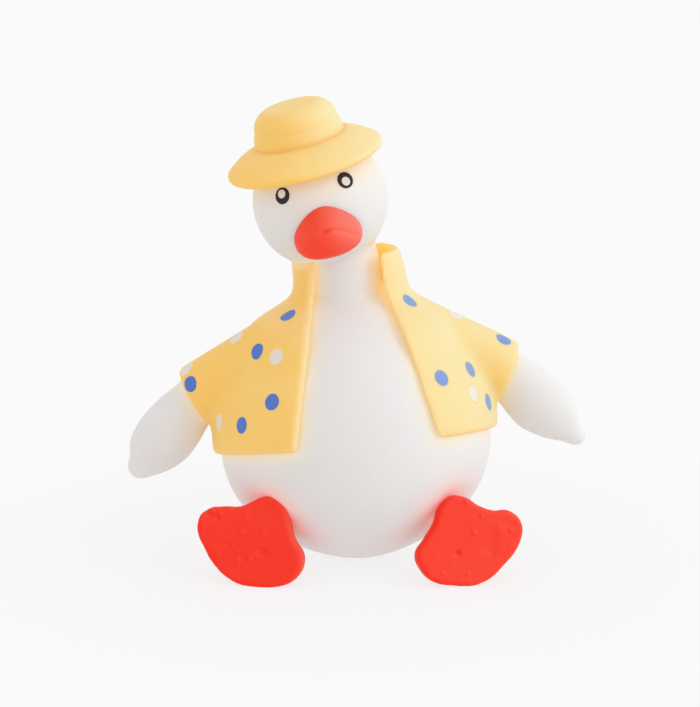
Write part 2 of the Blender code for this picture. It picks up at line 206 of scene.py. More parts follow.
body = {
    "bellyRadius": 0.0320,
    "bellyHeight": 0.0280,
    "bellyDrop": 0.0296,
    "bellyTaper": 0.20,
    "shoulderRise": 0.0345,
    "neckRadius": 0.0094,
    "neckBlend": 0.0120,
    "neckBendStart": 0.0300,
    "lean": math.radians(4.6),
    "headRadius": 0.0156,
    "headPlace": Vector((-0.0036, -0.0020, 0.0570)),
    "headRoll": math.radians(14.2),
    "headNod": math.radians(7.7),
    "headTurn": math.radians(-0.5),
    "ringPitch": 0.0011,
    "voxel": 0.00055,
    "softening": 9,
}

torsoFrame = Matrix.Translation((0.0, 0.0, body["bellyHeight"])) @ Matrix.Rotation(-body["lean"], 4, "Y")
headFrame = (
    Matrix.Translation(torsoFrame @ body["headPlace"])
    @ Matrix.Rotation(-body["headRoll"], 4, "Y")
    @ Matrix.Rotation(body["headTurn"], 4, "Z")
    @ Matrix.Rotation(body["headNod"], 4, "X")
)


def smoothMax(first, second, blend):
    share = max(blend - abs(first - second), 0.0) / blend
    return max(first, second) + share * share * blend / 4.0


def torsoRadius(rise):
    if rise < 0.0:
        share = min((rise / body["bellyDrop"]) ** 2, 1.0)
        return body["bellyRadius"] * (1.0 - share) ** (0.5 + body["bellyTaper"] * share)
    belly = body["bellyRadius"] * math.sqrt(max(1.0 - (rise / body["shoulderRise"]) ** 2, 0.0))
    return smoothMax(belly, body["neckRadius"], body["neckBlend"])


def torsoCentre(rise):
    # The neck leans over to the duck's right and forwards, more and more towards the head.
    share = max((rise - body["neckBendStart"]) / (body["headPlace"].z - body["neckBendStart"]), 0.0) ** 2
    return Vector((body["headPlace"].x * share, body["headPlace"].y * share, rise))


def torsoSlices(low, high, radiusAt):
    count = round((high - low) / body["ringPitch"])
    rises = [low + (high - low) * step / count for step in range(count + 1)]
    return [(torsoCentre(rise), radiusAt(rise)) for rise in rises]


wings = {
    "back": 0.0010,
    "rootSpan": 0.0160,
    "rootRise": 0.0220,
    "rootRadius": 0.0060,
    "flatness": 0.72,
    "droop": math.radians(44.0),
    "rightStart": (-0.0350, 0.0125),
    "leftStart": (0.0350, 0.0125),
    # Along the wing, how far its middle stands over the straight line, and its half width
    "right": (
        (0.0000, 0.0006, 0.0056), (0.0034, 0.0007, 0.0060), (0.0070, 0.0006, 0.0067),
        (0.0108, 0.0004, 0.0072), (0.0145, 0.0003, 0.0072), (0.0183, 0.0003, 0.0064),
        (0.0206, 0.0003, 0.0053), (0.0230, -0.0001, 0.0036), (0.0246, 0.0001, 0.0028),
        (0.0256, 0.0001, 0.0019), (0.0261, 0.0000, 0.0010),
    ),
    "left": (
        (0.0000, 0.0006, 0.0056), (0.0038, 0.0008, 0.0062), (0.0078, 0.0005, 0.0069),
        (0.0119, 0.0002, 0.0072), (0.0152, 0.0003, 0.0067), (0.0182, 0.0003, 0.0058),
        (0.0207, 0.0001, 0.0043), (0.0222, -0.0002, 0.0032), (0.0240, -0.0002, 0.0026),
        (0.0254, -0.0002, 0.0019), (0.0264, -0.0002, 0.0011),
    ),
    "steps": 4,
}


def curveBetween(a, b, c, d, t):
    square = (2 * a - 5 * b + 4 * c - d) * t * t
    return 0.5 * (2 * b + (c - a) * t + square + (3 * b - a - 3 * c + d) * t * t * t)


def smoothPoints(points, steps):
    # More slices between the given ones, on a smooth curve through them.
    ends = [points[0], *points, points[-1]]
    result = []
    for rows in zip(ends, ends[1:], ends[2:], ends[3:]):
        for step in range(steps):
            result.append(tuple(curveBetween(*column, step / steps) for column in zip(*rows)))
    result.append(points[-1])
    return result


def makeWing(side, word):
    startX, startZ = wings[word + "Start"]
    along = Matrix.Rotation(side * (math.pi / 2 + wings["droop"]), 4, "Y")
    turn = torsoFrame @ Matrix.Translation((startX, wings["back"], startZ)) @ along
    slices = [
        (Vector((-side * lift, 0.0, reach)), radius)
        for reach, lift, radius in smoothPoints(wings[word], wings["steps"])
    ]
    blade = growPiece(word + "Wing", turn, slices, 48, wings["flatness"])
    root = Vector((side * wings["rootSpan"], wings["back"], wings["rootRise"]))
    tip = Vector((startX, wings["back"], startZ))
    out = (tip - root).normalized()
    reach = (tip - root).length + wings["rootRadius"] / 2
    shoulder = torsoFrame @ Matrix.Translation(root) @ turnTo(out)
    slices = [((0, 0, 0), wings["rootRadius"]), ((0, 0, reach), wings["rootRadius"])]
    arm = growPiece(word + "Arm", shoulder, slices, 48, wings["flatness"])
    return [blade, arm]


legs = {
    "radius": 0.0050,
    "rise": 0.0125,
    "span": 0.0225,
    "footBack": 0.0034,
    "straight": 0.0036,
    "depth": 0.45,
}

feet = {
    "span": 0.0262,
    "shift": 0.0007,
    "forward": 0.0285,
    "lean": math.radians(14.0),
    "splay": math.radians(12.0),
    "thickness": 0.0040,
    "edge": 0.0011,
    "voxel": 0.00026,
    "softening": 5,
    "relief": 1.9,
    # Height and scale of the waves on the front
    "waves": ((0.00012, 190.0), (0.00005, 700.0)),
}


def footFrame(side):
    place = Matrix.Translation((side * feet["span"] + feet["shift"], -feet["forward"], 0.0))
    splay = Matrix.Rotation(side * feet["splay"], 4, "Z")
    return place @ splay @ Matrix.Rotation(-feet["lean"], 4, "X")


def makeLeg(side, word):
    # Square to the back of the foot first, and then bent in under the belly.
    foot = footFrame(side)
    across = (legs["span"] - feet["span"]) * side
    start = foot @ Vector((across, legs["footBack"], legs["rise"]))
    bend = foot @ Vector((across, legs["footBack"] + legs["straight"], legs["rise"]))
    inside = bend.lerp(Vector((0.0, 0.0, body["bellyHeight"])), legs["depth"])
    parts = []
    for name, low, high in ((word + "Ankle", start, bend), (word + "Leg", bend, inside)):
        way = high - low
        slices = [((0, 0, 0), legs["radius"]), ((0, 0, way.length), legs["radius"])]
        parts.append(growPiece(name, Matrix.Translation(low) @ turnTo(way), slices, 40))
    return parts


def makeBody():
    low = 0.0002 - body["bellyDrop"]
    torso = growPiece("body", torsoFrame, torsoSlices(low, body["headPlace"].z, torsoRadius), 96)
    cutAtFloor(torso)
    deselectAll()
    bpy.ops.mesh.primitive_uv_sphere_add(
        segments=96, ring_count=48, radius=body["headRadius"], location=headFrame.translation
    )
    head = bpy.context.active_object
    bpy.ops.object.transform_apply(location=True, rotation=True, scale=True)
    forms = [torso, head]
    for side, word in bothSides:
        forms += makeWing(side, word)
        forms += makeLeg(side, word)
    piece = joinPieces("whiteBody", forms)
    fuse(piece, body["voxel"], body["softening"])
    keepOffFloor(piece)
    return piece


whiteBody = makeBody()
print("body made:", len(whiteBody.data.polygons), "faces")


# Jacket: one thick sheet over back, shoulders and short sleeves, open down the front

jacket = {
    "wall": 0.00195,
    "sink": 0.0010,
    "yoke": 0.0024,
    "yokeRise": 0.0283,
    "yokeWidth": 0.0042,
    "hemRise": -0.0010,
    "hemSlope": math.radians(11.0),
    "hemRoll": math.radians(1.0),
    "collarTop": 0.0450,
    "collarHeight": 0.0080,
    "collarTopRadius": 0.0100,
    "collarBaseRadius": 0.0114,
    "collarShift": 0.0021,
    "collarWall": 0.0018,
    "collarBlend": 0.0078,
    # Rise over the belly's middle, and how far the front edges lie to the duck's right and left
    "opening": (
        (0.0520, 0.0052, 0.0088), (0.0440, 0.0054, 0.0090), (0.0355, 0.0068, 0.0097),
        (0.0250, 0.0086, 0.0137), (0.0050, 0.0126, 0.0190), (-0.0150, 0.0166, 0.0235),
    ),
    "openingSteps": 5,
    "sleeveHem": (0.0376, 0.0124),
    "sleeveHemRadius": 0.0075,
    "sleeveRootRadius": 0.0096,
    "sleeveBack": 0.0006,
    "rightRootForward": 0.0075,
    "leftRootForward": 0.0,
    "sleeveLength": 0.0243,
    "sleeveDroop": math.radians(24.8),
    "blendVoxel": 0.0006,
    "blendSoftening": 15,
    "voxel": 0.0005,
    "softening": 56,
}


def collarRadius(rise):
    share = (jacket["collarTop"] - rise) / jacket["collarHeight"]
    return jacket["collarTopRadius"] + (jacket["collarBaseRadius"] - jacket["collarTopRadius"]) * share


def jacketRadius(rise):
    plain = smoothMax(torsoRadius(rise) + jacket["wall"], collarRadius(rise), jacket["collarBlend"])
    return plain + jacket["yoke"] * bump(rise - jacket["yokeRise"], jacket["yokeWidth"])


def collarSlices(low, high, radiusAt):
    # The collar stands off the neck towards the duck's left.
    slices = []
    for centre, radius in torsoSlices(low, high, radiusAt):
        share = clip((centre.z - jacket["collarTop"] + 2 * jacket["collarHeight"]) / jacket["collarHeight"])
        slices.append((centre + Vector((jacket["collarShift"] * share, 0.0, 0.0)), radius))
    return slices


def makeSleeve(side, word):
    x, z = jacket["sleeveHem"]
    inward = Matrix.Rotation(-side * (math.pi / 2 - jacket["sleeveDroop"]), 4, "Y")
    turn = torsoFrame @ Matrix.Translation((side * x, jacket["sleeveBack"], z)) @ inward
    root = jacket["sleeveRootRadius"]
    length = jacket["sleeveLength"]
    forward = jacket[word + "RootForward"]
    slices = [((0, 0, 0), jacket["sleeveHemRadius"]), ((0, -forward, length), root)]
    for step in range(1, 8):
        angle = math.pi / 2 * step / 8
        slices.append(((0, -forward, length + root * math.sin(angle)), root * math.cos(angle)))
    return growPiece(word + "Sleeve", turn, slices, 48)


def makeOpening():
    # Flat outline of the gap down the front, pushed right through the front wall.
    deselectAll()
    bpy.ops.mesh.primitive_plane_add(size=0.001)
    cutter = bpy.context.active_object
    cutter.name = "frontOpening"
    rows = smoothPoints(jacket["opening"], jacket["openingSteps"])
    bpy.ops.object.mode_set(mode="EDIT")
    bpy.ops.mesh.delete(type="VERT")
    bpy.ops.object.mode_set(mode="OBJECT")
    outline = [Vector((-right, 0.0, rise)) for rise, right, left in rows]
    outline += [Vector((left, 0.0, rise)) for rise, right, left in reversed(rows)]
    cutter.data.from_pydata(outline, [], [list(range(len(outline)))])
    onlySelect(cutter)
    editWhole()
    bpy.ops.mesh.extrude_region_move(TRANSFORM_OT_translate={"value": (0.0, -2 * body["bellyRadius"], 0.0)})
    closeEdit()
    cutter.data.transform(torsoFrame)
    return cutter


def makeHemBlock():
    size = 4 * body["bellyRadius"]
    deselectAll()
    bpy.ops.mesh.primitive_cube_add(size=size, location=(0.0, 0.0, -size / 2))
    cutter = bpy.context.active_object
    cutter.name = "belowHem"
    bpy.ops.object.transform_apply(location=True, rotation=True, scale=True)
    slope = Matrix.Rotation(-jacket["hemSlope"], 4, "X") @ Matrix.Rotation(-jacket["hemRoll"], 4, "Y")
    cutter.data.transform(torsoFrame @ Matrix.Translation((0.0, 0.0, jacket["hemRise"])) @ slope)
    return cutter


def makeJacketInside():
    top = jacket["collarTop"] + jacket["collarHeight"]
    low = -body["bellyDrop"] / 2
    slices = torsoSlices(low, top, lambda rise: torsoRadius(rise) - jacket["sink"])
    torso = growPiece("jacketInside", torsoFrame, slices, 90)
    low = jacket["collarTop"] - jacket["collarHeight"]
    slices = collarSlices(low, top, lambda rise: jacketRadius(rise) - jacket["collarWall"])
    collar = growPiece("collarInside", torsoFrame, slices, 90)
    forms = [torso, collar]
    for side, word in bothSides:
        forms += makeWing(side, word)
    inside = joinPieces("jacketInside", forms)
    fuse(inside, jacket["blendVoxel"], 2)
    return inside


def makeJacket():
    low = jacket["hemRise"] - body["bellyRadius"] / 4
    outer = growPiece("jacket", torsoFrame, collarSlices(low, jacket["collarTop"], jacketRadius), 96)
    sleeves = [makeSleeve(side, word) for side, word in bothSides]
    piece = joinPieces("dottedJacket", [outer] + sleeves)
    fuse(piece, jacket["blendVoxel"], jacket["blendSoftening"])
    cutAway(piece, makeJacketInside())
    cutAway(piece, makeOpening())
    cutAway(piece, makeHemBlock())
    fuse(piece, jacket["voxel"], jacket["softening"])
    return piece


dottedJacket = makeJacket()
print("jacket made:", len(dottedJacket.data.polygons), "faces")


# Hat: round crown with a band, and a brim that slopes down all round

hat = {
    "shift": -0.0009,
    "seat": 0.0154,
    "crownRadius": 0.0097,
    "crownHeight": 0.0081,
    "crownCorner": 0.0046,
    "bandHeight": 0.0030,
    # Out from the crown's side and up from the top of the band
    "bandEdge": ((0.00005, 0.0005), (0.00004, 0.00025), (0.00028, 0.0), (0.00038, -0.0004)),
    "bandFlare": 0.0008,
    # Out and up from where the flared band would meet the brim
    "bandFoot": (
        (-0.0001, 0.0012), (-0.00005, 0.0005), (-0.0001, 0.0002), (0.0, 0.00002),
        (0.00015, 0.0), (0.00035, 0.00001),
    ),
    "brimRadius": 0.0182,
    "brimDrop": 0.0042,
    "brimWall": 0.0019,
    "brimEdge": 0.0012,
    "brimSag": 0.58,
    "brimShares": (0.14, 0.3, 0.45, 0.6, 0.75, 0.87),
    "insideRadius": 0.0122,
}


def hatOutline():
    # Radius and height, from the middle of the top, down round the brim, to inside the head.
    corner = hat["crownCorner"]
    side = hat["crownRadius"] - corner
    top = hat["seat"] + hat["crownHeight"]
    points = [(0.0003, top)]
    for step in range(13):
        angle = math.pi / 2 * (1 - step / 12)
        points.append((side + corner * math.cos(angle), top - corner + corner * math.sin(angle)))
    bandTop = hat["seat"] + hat["bandHeight"]
    foot = hat["crownRadius"] + hat["bandFlare"]
    points += [(hat["crownRadius"] + out, bandTop + up) for out, up in hat["bandEdge"]]
    points += [(foot + out, hat["seat"] + up) for out, up in hat["bandFoot"]]
    length = hat["brimRadius"] - foot
    slope = hat["brimDrop"] / length

    def brimHeight(reach):
        share = (reach - foot) / length
        return hat["seat"] - slope * (reach - foot) * (1.0 - hat["brimSag"] * (1.0 - share))

    for share in hat["brimShares"]:
        points.append((foot + length * share, brimHeight(foot + length * share)))
    # The rounded edge goes on from the top of the brim without a corner.
    half = hat["brimEdge"]
    out = math.pi / 2 - math.atan(slope * (1.0 + hat["brimSag"]))
    rimX = hat["brimRadius"] - half
    rimZ = brimHeight(rimX + half * math.cos(out)) - half * math.sin(out)
    for step in range(11):
        angle = out - math.pi * step / 10
        points.append((rimX + half * math.cos(angle), rimZ + half * math.sin(angle)))
    under = hat["seat"] - hat["brimWall"] - slope * (hat["insideRadius"] - foot)
    points.append(((rimX - half + hat["insideRadius"]) / 2, (rimZ - half + under) / 2))
    points.append((hat["insideRadius"] + 0.0003, under))
    points.append((hat["insideRadius"], under - 0.0003))
    points.append((hat["insideRadius"], hat["seat"] - body["headRadius"] / 2))
    return points


def makeHat():
    slices = [((0.0, 0.0, height), radius) for radius, height in hatOutline()]
    turn = headFrame @ Matrix.Translation((hat["shift"], 0.0, 0.0))
    piece = growPiece("sunHat", turn, slices, 96)
    smooth = piece.modifiers.new("smooth", "SUBSURF")
    smooth.levels = 1
    smooth.render_levels = 1
    applyModifiers(piece)
    shadeSmooth(piece)
    return piece


sunHat = makeHat()
print("hat made:", len(sunHat.data.polygons), "faces")


# Bill: tall arched upper half over a shallow lower one

bill = {
    "halfWidth": 0.0078,
    "narrowing": 0.10,
    "endDrop": 0.0019,
    "shift": 0.0001,
    "top": 0.0060,
    "bottom": 0.0061,
    "reach": 0.0060,
    "seat": 0.0015,
    "dip": math.radians(13.0),
    "turn": math.radians(1.5),
    "mouthRise": 0.0030,
    "mouthShift": 0.0006,
    "mouthBend": 115.0,
    "mouthDepth": 0.00022,
    "mouthWidth": 0.00045,
    "mouthFade": 0.0052,
    "lipHeight": 0.00016,
    "lipRise": 0.0011,
    "lipWidth": 0.0008,
    "notchDepth": 0.00050,
    "notchHeight": 0.0003,
    "notchWidth": 0.0010,
    "notchShift": -0.0001,
    "waveHeight": 0.00009,
    "waveScale": 260.0,
}

billFrame = (
    headFrame
    @ Matrix.Rotation(bill["turn"], 4, "Z")
    @ Matrix.Rotation(bill["dip"], 4, "X")
    @ Matrix.Translation((0.0, bill["seat"] - body["headRadius"], 0.0))
)


def billRelief(place):
    spot = billFrame.inverted() @ place
    mouth = bill["mouthRise"] - bill["mouthBend"] * (spot.x - bill["mouthShift"]) ** 2
    over = spot.z - mouth
    fade = bump(spot.x, bill["mouthFade"])
    lift = -bill["mouthDepth"] * bump(over, bill["mouthWidth"]) * (0.4 + 0.6 * fade)
    lift += bill["lipHeight"] * bump(over - bill["lipRise"], bill["lipWidth"]) * fade
    notch = bump(over, bill["notchHeight"]) * bump(spot.x - bill["notchShift"], bill["notchWidth"])
    lift -= bill["notchDepth"] * notch
    lift += bill["waveHeight"] * noise.noise(place * bill["waveScale"])
    return lift


def makeBill():
    depth = bill["reach"] + bill["seat"]
    deselectAll()
    bpy.ops.mesh.primitive_uv_sphere_add(segments=224, ring_count=128, radius=1.0)
    piece = bpy.context.active_object
    piece.name = "redBill"
    for vertex in piece.data.vertices:
        x, y, z = vertex.co
        height = z * (bill["top"] if z > 0.0 else bill["bottom"])
        # The corners of the mouth hang lower than the middle.
        height -= bill["endDrop"] * x * x
        x *= 1.0 - bill["narrowing"] * max(z, 0.0) ** 2
        vertex.co = (x * bill["halfWidth"] + bill["shift"], y * depth, height)
    piece.data.transform(billFrame)
    sculpt(piece, billRelief)
    shadeSmooth(piece)
    return piece


redBill = makeBill()
print("bill made:", len(redBill.data.polygons), "faces")


# Eyes: low black domes with a white pupil printed on each

eyes = {
    "radius": 0.0019,
    "proud": 0.00022,
    "sunk": 0.0010,
    "sunkShare": 0.96,
    "azimuth": math.radians(31.0),
    "elevation": math.radians(24.4),
    "ring": 0.0001,
    "edgeRings": 3.0,
    "pupilRadius": 0.0010,
    "rightPupilPixel": (281.6, 193.9),
    "leftPupilPixel": (346.0, 181.1),
}


def makeEye(side, name):
    look = Matrix.Rotation(side * eyes["azimuth"], 4, "Z")
    look = look @ Matrix.Rotation(math.pi / 2 - eyes["elevation"], 4, "X")
    surface = body["headRadius"]
    dome = surface + eyes["proud"]
    slices = [
        ((0, 0, surface - eyes["sunk"]), eyes["radius"] * eyes["sunkShare"]),
        ((0, 0, math.sqrt(surface**2 - eyes["radius"] ** 2)), eyes["radius"]),
    ]
    count = round(eyes["radius"] / eyes["ring"])
    for step in range(1, count):
        radius = eyes["radius"] - eyes["ring"] * step
        share = min(step / eyes["edgeRings"], 1.0)
        height = math.sqrt(surface**2 - radius**2) * (1 - share) + math.sqrt(dome**2 - radius**2) * share
        slices.append(((0, 0, height), radius))
    piece = growPiece(name, headFrame @ look, slices, 72)
    shadeSmooth(piece)
    return piece


rightEye = makeEye(-1, "rightEye")
leftEye = makeEye(1, "leftEye")
print("eyes made")


# Feet: flat webbed feet, standing on their lower edges

# Across from the foot's middle to +X, and up along its front
footOutlines = {
    "right": (
        (0.0040, 0.0207), (0.0078, 0.0196), (0.0096, 0.0160), (0.0109, 0.0118),
        (0.0134, 0.0073), (0.0118, 0.0027), (0.0072, 0.0003), (0.0000, 0.0002),
        (-0.0028, 0.0010), (-0.0061, 0.0033), (-0.0093, 0.0073), (-0.0118, 0.0132),
        (-0.0100, 0.0168), (-0.0064, 0.0178), (-0.0018, 0.0181), (0.0010, 0.0195),
    ),
    "left": (
        (-0.0040, 0.0207), (-0.0009, 0.0204), (0.0023, 0.0183), (0.0058, 0.0169),
        (0.0094, 0.0167), (0.0122, 0.0135), (0.0115, 0.0094), (0.0074, 0.0043),
        (0.0019, 0.0006), (-0.0048, 0.0005), (-0.0092, 0.0017), (-0.0119, 0.0045),
        (-0.0129, 0.0080), (-0.0107, 0.0114), (-0.0084, 0.0147), (-0.0070, 0.0181),
    ),
}

# Bumps and pocks on the fronts: across, up, width and height, all in metres
footRelief = {
    "right": (
        (0.0039, 0.0081, 0.00035, 0.00030), (0.0039, 0.0081, 0.00085, -0.00032),
        (-0.0089, 0.0160, 0.0011, -0.00030), (-0.0070, 0.0153, 0.0008, -0.00028),
        (-0.0062, 0.0161, 0.0005, 0.00030), (-0.0080, 0.0168, 0.0006, 0.00028),
        (-0.0002, 0.0156, 0.0006, 0.00018), (-0.0010, 0.0124, 0.0007, 0.00020),
        (0.0010, 0.0065, 0.0006, 0.00020), (-0.0017, 0.0060, 0.0005, 0.00016),
        (-0.0065, 0.0070, 0.0008, 0.00014), (-0.0041, 0.0092, 0.0006, -0.00014),
        (0.0037, 0.0130, 0.0004, 0.00014), (-0.0022, 0.0096, 0.0004, -0.00014),
    ),
    "left": (
        (-0.0035, 0.0078, 0.0006, -0.00040), (-0.0010, 0.0195, 0.00035, 0.00022),
        (0.0025, 0.0159, 0.00035, 0.00022), (0.0005, 0.0122, 0.00045, 0.00024),
        (0.0067, 0.0125, 0.0012, 0.00014), (0.0041, 0.0081, 0.0016, -0.00016),
        (0.0092, 0.0123, 0.0004, 0.00016), (-0.0072, 0.0036, 0.0005, 0.00014),
        (-0.0014, 0.0029, 0.0005, 0.00014),
    ),
}


def makeFoot(side, word):
    deselectAll()
    bpy.ops.curve.primitive_bezier_circle_add(radius=0.01)
    curve = bpy.context.active_object
    shape = curve.data
    shape.dimensions = "2D"
    shape.fill_mode = "BOTH"
    shape.extrude = feet["thickness"] / 2 - feet["edge"]
    shape.bevel_depth = feet["edge"]
    shape.bevel_resolution = 5
    shape.offset = -feet["edge"]
    shape.resolution_u = 10
    spline = shape.splines[0]
    outline = footOutlines[word]
    spline.bezier_points.add(len(outline) - len(spline.bezier_points))
    for point, place in zip(spline.bezier_points, outline):
        point.co = (*place, 0.0)
        point.handle_left_type = "AUTO"
        point.handle_right_type = "AUTO"
    bpy.ops.object.convert(target="MESH")
    piece = bpy.context.active_object
    piece.name = word + "Foot"
    upright = Matrix.Rotation(math.pi / 2, 4, "X")
    stand = footFrame(side)
    piece.data.transform(stand @ Matrix.Translation((0.0, feet["thickness"] / 2, 0.0)) @ upright)
    onlySelect(piece)
    editWhole()
    bpy.ops.mesh.remove_doubles(threshold=0.00001)
    closeEdit()
    cutAtFloor(piece)
    fuse(piece, feet["voxel"], feet["softening"])
    back = stand.inverted()

    def relief(place):
        spot = back @ place
        if spot.y > feet["thickness"] / 2:
            return 0.0
        lift = sum(height * noise.noise(place * scale) for height, scale in feet["waves"])
        for across, up, width, height in footRelief[word]:
            lift += feet["relief"] * height * bump(math.hypot(spot.x - across, spot.z - up), width)
        return lift

    sculpt(piece, relief)
    keepOffFloor(piece)
    return piece


rightFoot = makeFoot(-1, "right")
leftFoot = makeFoot(1, "left")
print("feet made:", len(rightFoot.data.polygons) + len(leftFoot.data.polygons), "faces")


# Printed dots, by where the photograph shows them, and the rest round the back

dots = {
    "radius": 0.00193,
    "blue": (
        (288.1, 315.5), (257.3, 351.5), (271.9, 402.0), (241.5, 425.3), (189.9, 384.0),
        (409.7, 300.9), (503.6, 339.0), (441.7, 378.0), (470.4, 369.3), (488.5, 402.0),
    ),
    "white": (
        (276.1, 356.8), (218.9, 422.3), (186.2, 368.3), (236.6, 337.2),
        (473.7, 393.6), (455.6, 314.6),
    ),
    # Round the back: degrees from straight back to the duck's left, and rise over the belly's middle
    "blueBack": (
        (-62.0, 0.0060), (-40.0, 0.0180), (-22.0, 0.0040), (0.0, 0.0260), (8.0, 0.0120),
        (33.0, 0.0200), (52.0, 0.0060), (70.0, 0.0150),
    ),
    "whiteBack": (
        (-52.0, 0.0120), (-14.0, 0.0170), (-4.0, 0.0010), (24.0, 0.0060), (44.0, 0.0130), (-30.0, 0.0270),
    ),
}


def surfaceOf(piece):
    return BVHTree.FromObject(piece, bpy.context.evaluated_depsgraph_get())


def spotInPhoto(surface, pixel):
    # Where the line of sight through a pixel meets a surface.
    view = photoView
    longSide = max(view["imageWidth"], view["imageHeight"])
    focal = view["lens"] / view["sensorWidth"] * longSide
    sight = Vector((pixel[0] - view["imageWidth"] / 2, view["imageHeight"] / 2 - pixel[1], -focal))
    sight = camera.matrix_world.to_3x3() @ sight.normalized()
    place = surface.ray_cast(camera.matrix_world.translation, sight)[0]
    if place is None:
        print("no surface at", pixel)
    return place


def spotBehind(surface, degrees, rise):
    angle = math.radians(degrees)
    out = Vector((math.sin(angle), math.cos(angle), 0.0))
    start = torsoFrame @ (torsoCentre(rise) + out * 0.08)
    way = torsoFrame.to_3x3() @ -out
    return surface.ray_cast(start, way)[0]


def paint(piece, name, values):
    attribute = piece.data.attributes.new(name, "FLOAT", "POINT")
    attribute.data.foreach_set("value", np.asarray(values, dtype=np.float32))


def vertexPlaces(piece):
    places = np.empty(len(piece.data.vertices) * 3)
    piece.data.vertices.foreach_get("co", places)
    return places.reshape(-1, 3)


def nearestSpot(piece, spots):
    places = vertexPlaces(piece)
    nearest = np.full(len(places), 1.0)
    for spot in spots:
        nearest = np.minimum(nearest, np.linalg.norm(places - np.array(spot), axis=1))
    return nearest


bpy.context.view_layer.update()
jacketSurface = surfaceOf(dottedJacket)
for colour in ("blue", "white"):
    spots = [spotInPhoto(jacketSurface, pixel) for pixel in dots[colour]]
    spots += [spotBehind(jacketSurface, *place) for place in dots[colour + "Back"]]
    paint(dottedJacket, colour + "Dots", nearestSpot(dottedJacket, [spot for spot in spots if spot]))
for eye, pixel in ((rightEye, eyes["rightPupilPixel"]), (leftEye, eyes["leftPupilPixel"])):
    paint(eye, "pupil", nearestSpot(eye, [spotInPhoto(surfaceOf(eye), pixel)]))


# Painted fields: painted glow beside the coloured pieces, painted light on the side turned to the window,
# painted shade at the lapels, in the hat's crease and as a contact shadow along the body's bottom, and the
# thin edges

fields = {
    "jacketReach": 0.0014,
    "hatReach": 0.0026,
    "footReach": 0.0024,
    "farthest": 4.0,
    "contactShadowRise": 0.0006,
    "window": Vector((0.85, -0.12, 0.50)).normalized(),
    "windowTurn": 0.85,
    "windowShare": 0.15,
    "windowPower": 1.3,
    "thinWall": 0.0005,
    "thickWall": 0.0018,
    "lapelWidth": 0.0010,
    "lapelFade": 0.0012,
    "lapelShadeShare": 0.75,
    "insideTurn": 1.3,
    "insideStart": 0.2,
    "insideLow": 0.024,
    "insideFade": 0.010,
    "creaseShadeWidth": 0.0007,
}


# Painted glow: a field that falls off with distance from a neighbouring piece
def paintedGlowNear(piece, neighbour, reach):
    surface = surfaceOf(neighbour)
    values = []
    for vertex in piece.data.vertices:
        found = surface.find_nearest(vertex.co, reach * fields["farthest"])
        values.append(math.exp(-found[3] / reach) if found[0] else 0.0)
    return values


def paintedLitSide(piece):
    # Painted light: the colour is paler on the side turned to the window lamp, the duck's left.
    normals = np.empty(len(piece.data.vertices) * 3)
    piece.data.vertices.foreach_get("normal", normals)
    facing = normals.reshape(-1, 3) @ np.array(fields["window"])
    pale = np.clip(facing * fields["windowTurn"] + fields["windowShare"], 0.0, 1.0)
    return pale ** fields["windowPower"]


def nearBody(piece):
    surface = surfaceOf(whiteBody)
    low, high = fields["thinWall"], fields["thickWall"]
    return [clip((high - surface.find_nearest(vertex.co)[3]) / (high - low)) for vertex in piece.data.vertices]


def lapelShadeBand(piece):
    # Painted shade: a band along both sides of the opening, on the front only.
    rows = smoothPoints(jacket["opening"], jacket["openingSteps"])[::-1]
    rises = [row[0] for row in rows]
    back = torsoFrame.inverted()
    values = []
    for vertex in piece.data.vertices:
        place = back @ vertex.co
        edge = np.interp(place.z, rises, [row[1 if place.x < 0.0 else 2] for row in rows])
        over = abs(place.x) - edge - fields["lapelWidth"]
        values.append(clip(1.0 - over / fields["lapelFade"]) if place.y < 0.0 else 0.0)
    return values


# Where the painted glow goes: faces turned in towards the neck, high up on the jacket
def turnedInwards(piece):
    back = torsoFrame.inverted()
    turn = back.to_3x3()
    values = []
    for vertex in piece.data.vertices:
        place = back @ vertex.co
        out = place - torsoCentre(place.z)
        out.z = 0.0
        facing = -(turn @ vertex.normal).dot(out.normalized())
        inner = clip(facing * fields["insideTurn"] - fields["insideStart"])
        values.append(inner * clip((place.z - fields["insideLow"]) / fields["insideFade"]))
    return values


def bandFoot(piece):
    # Painted shade in the crease where the band meets the brim: a ring round the band's foot
    back = (headFrame @ Matrix.Translation((hat["shift"], 0.0, 0.0))).inverted()
    values = []
    for vertex in piece.data.vertices:
        spot = back @ vertex.co
        reach = math.hypot(spot.x, spot.y) - hat["crownRadius"] - hat["bandFlare"]
        values.append(bump(math.hypot(reach, spot.z - hat["seat"]), fields["creaseShadeWidth"]))
    return values


# Painted glow on the white body beside the feet, the jacket and the hat
paintedFootGlow = [paintedGlowNear(whiteBody, foot, fields["footReach"]) for foot in (rightFoot, leftFoot)]
paint(whiteBody, "paintedJacketGlow", paintedGlowNear(whiteBody, dottedJacket, fields["jacketReach"]))
paint(whiteBody, "paintedHatGlow", paintedGlowNear(whiteBody, sunHat, fields["hatReach"]))
paint(whiteBody, "paintedFootGlow", np.maximum(*paintedFootGlow))
# Painted shadow: a thin dark line along the bottom where the body meets the floor
paint(whiteBody, "contactShadow", [bump(vertex.co.z, fields["contactShadowRise"]) for vertex in whiteBody.data.vertices])
# Painted light on every piece: a paler colour on the side turned to the window lamp
for piece in (whiteBody, dottedJacket, sunHat, redBill, rightFoot, leftFoot):
    paint(piece, "paintedLitSide", paintedLitSide(piece))
# Painted shade along the lapels, joined with the paler tint where the wall is thin over the body
lapelShade = fields["lapelShadeShare"] * np.array(lapelShadeBand(dottedJacket))
paint(dottedJacket, "thinWallAndLapelShade", np.maximum(nearBody(dottedJacket), lapelShade))
# Painted glow on the collar's inner faces
paint(dottedJacket, "inside", turnedInwards(dottedJacket))
